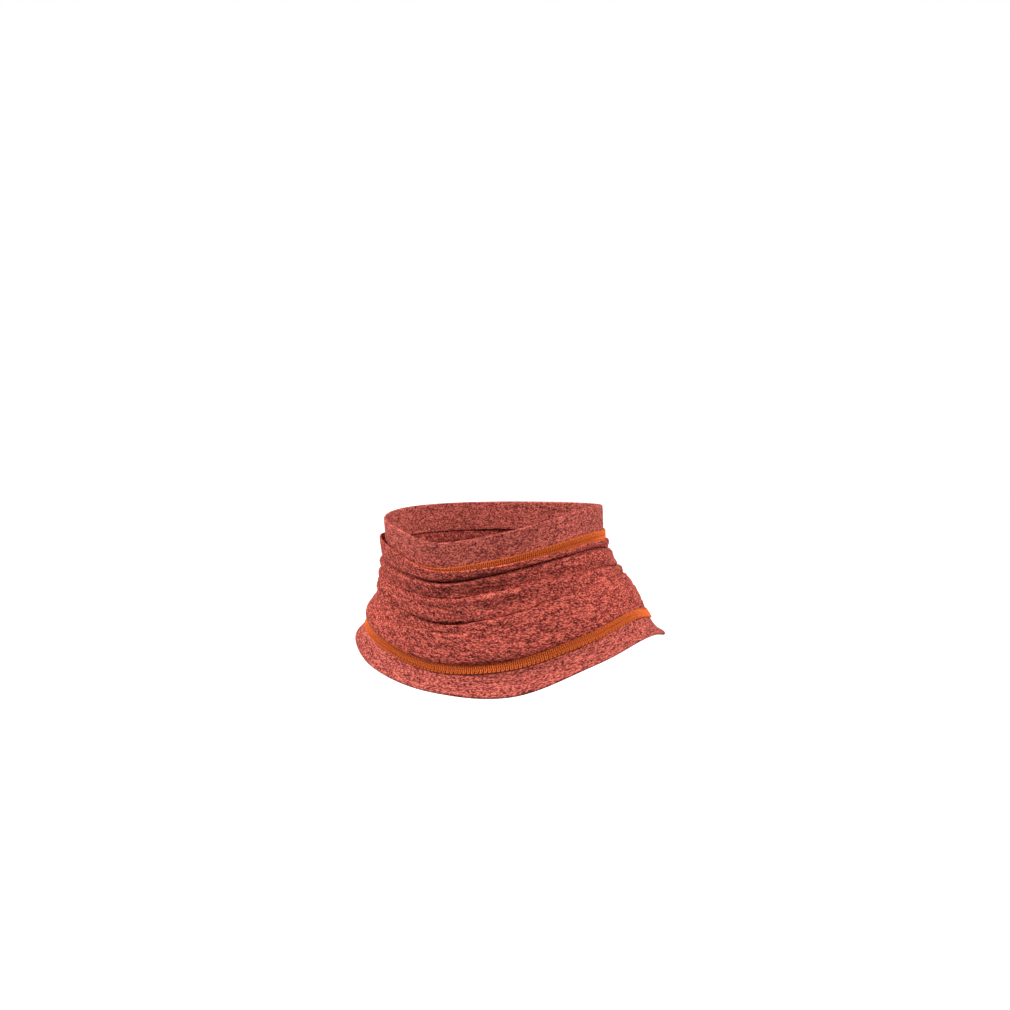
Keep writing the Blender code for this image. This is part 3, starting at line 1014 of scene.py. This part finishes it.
def plain(name, colour, roughness, glow):
    """A plain material that glows a little of its own."""
    made = bpy.data.materials.new(name)
    made.use_nodes = True
    shader = made.node_tree.nodes["Principled BSDF"]
    shader.inputs["Base Color"].default_value = colour
    shader.inputs["Roughness"].default_value = roughness
    shader.inputs["Emission Color"].default_value = colour
    shader.inputs["Emission Strength"].default_value = glow
    return made


def camera():
    """The camera, at the photograph's angle and size."""
    lens = bpy.data.cameras.new("view")
    lens.sensor_width = SENSOR
    lens.lens = SENSOR * FOCAL_PIXELS / IMAGE_SIDE
    lens.clip_start, lens.clip_end = 0.05, 20.0
    eye = bpy.data.objects.new("view", lens)
    bpy.context.scene.collection.objects.link(eye)
    eye.location = (VIEW_DISTANCE * sin(VIEW_AROUND),
                    -VIEW_DISTANCE * cos(VIEW_AROUND), VIEW_HEIGHT)
    look = Vector((-sin(VIEW_AROUND) * cos(VIEW_DOWN),
                   cos(VIEW_AROUND) * cos(VIEW_DOWN), -sin(VIEW_DOWN)))
    eye.rotation_euler = look.to_track_quat("-Z", "Y").to_euler()
    bpy.context.scene.camera = eye


def lamp(name, kind, place, power, size):
    """A soft light that points at the gaiter's middle."""
    data = bpy.data.lights.new(name, kind)
    data.energy = power
    if kind == "SUN":
        data.angle = size
    else:
        data.size = size
    made = bpy.data.objects.new(name, data)
    bpy.context.scene.collection.objects.link(made)
    made.location = place
    look = Vector((0.0, 0.0, 0.02)) - Vector(place)
    made.rotation_euler = look.to_track_quat("-Z", "Y").to_euler()


def surroundings():
    """White to the camera. As light it is bright overhead and at both sides
    of the picture, and dim below, in front and behind."""
    world = bpy.data.worlds.new("surroundings")
    world.use_nodes = True
    tree = world.node_tree
    given = tree.nodes.new("ShaderNodeTexCoord")
    split = tree.nodes.new("ShaderNodeSeparateXYZ")
    tree.links.new(given.outputs["Generated"], split.inputs[0])
    ramp = tree.nodes.new("ShaderNodeMapRange")
    tree.links.new(split.outputs["Z"], ramp.inputs["Value"])
    for socket, value in (("From Min", -1.0), ("To Min", SKY_BELOW),
                          ("To Max", SKY_ABOVE)):
        ramp.inputs[socket].default_value = value
    sky = tree.nodes["Background"]
    side = tree.nodes.new("ShaderNodeVectorMath")
    side.operation = "DOT_PRODUCT"
    side.inputs[1].default_value = (cos(VIEW_AROUND), sin(VIEW_AROUND), 0.0)
    tree.links.new(given.outputs["Generated"], side.inputs[0])
    square = calc(tree, "MULTIPLY", side.outputs["Value"],
                  side.outputs["Value"])
    lift = calc(tree, "ADD", SKY_MIDDLE, calc(
        tree, "MULTIPLY", square, SKY_SIDES - SKY_MIDDLE))
    tree.links.new(calc(tree, "MULTIPLY", ramp.outputs["Result"], lift),
                   sky.inputs["Strength"])
    sky.inputs["Color"].default_value = (1.0, 1.0, 1.0, 1.0)
    seen = tree.nodes.new("ShaderNodeBackground")
    seen.inputs["Color"].default_value = BACKDROP
    path = tree.nodes.new("ShaderNodeLightPath")
    choice = tree.nodes.new("ShaderNodeMixShader")
    tree.links.new(path.outputs["Is Camera Ray"], choice.inputs["Fac"])
    tree.links.new(sky.outputs[0], choice.inputs[1])
    tree.links.new(seen.outputs[0], choice.inputs[2])
    tree.links.new(choice.outputs[0], tree.nodes["World Output"].inputs[0])
    bpy.context.scene.world = world


def studio():
    """Pale floor, white surroundings, and soft light from above and from
    both sides."""
    scene = bpy.context.scene
    scene.view_settings.view_transform = "Standard"
    mesh = bpy.data.meshes.new("floor")
    side = FLOOR_SIDE
    mesh.from_pydata([(-side, -side, FLOOR), (side, -side, FLOOR),
                      (side, side, FLOOR), (-side, side, FLOOR)], [],
                     [(0, 1, 2, 3)])
    mesh.materials.append(plain("pale_floor", FLOOR_COLOUR, 0.9, FLOOR_GLOW))
    floor = bpy.data.objects.new("floor", mesh)
    floor.visible_diffuse = False
    scene.collection.objects.link(floor)
    surroundings()
    for given in LAMPS:
        lamp(*given)


camera()
angles = np.linspace(pi, 3 * pi, COLUMNS, endpoint=False)
knit = knit_group()
thread = thread_group()
tube_knit = finish("heather_knit", knit, {
    "Crimp": 1.6,
    "Dark": (0.065, 0.009, 0.009, 1), "Mid": (0.43, 0.064, 0.046, 1),
    "Light": (0.88, 0.185, 0.130, 1)}, 0.9, 0.8)
# The hem's knit has less crimp and contrast than the tube's; it is also darker
# overall, which is painted shade for the chin and head above it
hem_knit = finish("heather_knit_hem_painted_shade", knit, {
    "Crimp": 0.5,
    "Dark": (0.090, 0.015, 0.014, 1), "Mid": (0.39, 0.069, 0.052, 1),
    "Light": (0.70, 0.165, 0.122, 1)}, 0.9, 0.6)
# The orange thread's underside colour is painted shade, not a dye
orange = finish("orange_thread", thread, {
    "Colour": (0.80, 0.160, 0.032, 1), "Shade": (0.52, 0.084, 0.016, 1),
    "Painted Shadow Side": (0.22, 0.030, 0.010, 1)}, 0.6, 0.5)

tube = cloth("knit_tube_cloth", *tube_surface(angles), tube_knit,
             "knit_tube", "knit")
top_hem = cloth("top_hem_cloth", *top_hem_surface(angles), hem_knit,
                "top_hem", "hem_knit", TOP_HEM_START)
bottom_hem = cloth("bottom_hem_cloth", *bottom_hem_surface(angles), hem_knit,
                   "bottom_hem", "hem_knit", BOTTOM_HEM_START)
top_band = band("top_band_threads", top_band_point,
                pi * (NECK_WIDTH + NECK_DEPTH) / 2, "top_stitch_band", orange)
bottom_band = band("bottom_band_threads", bottom_band_point,
                   pi * (SEAM_WIDTH + SEAM_DEPTH) / 2, "bottom_stitch_band",
                   orange)
studio()
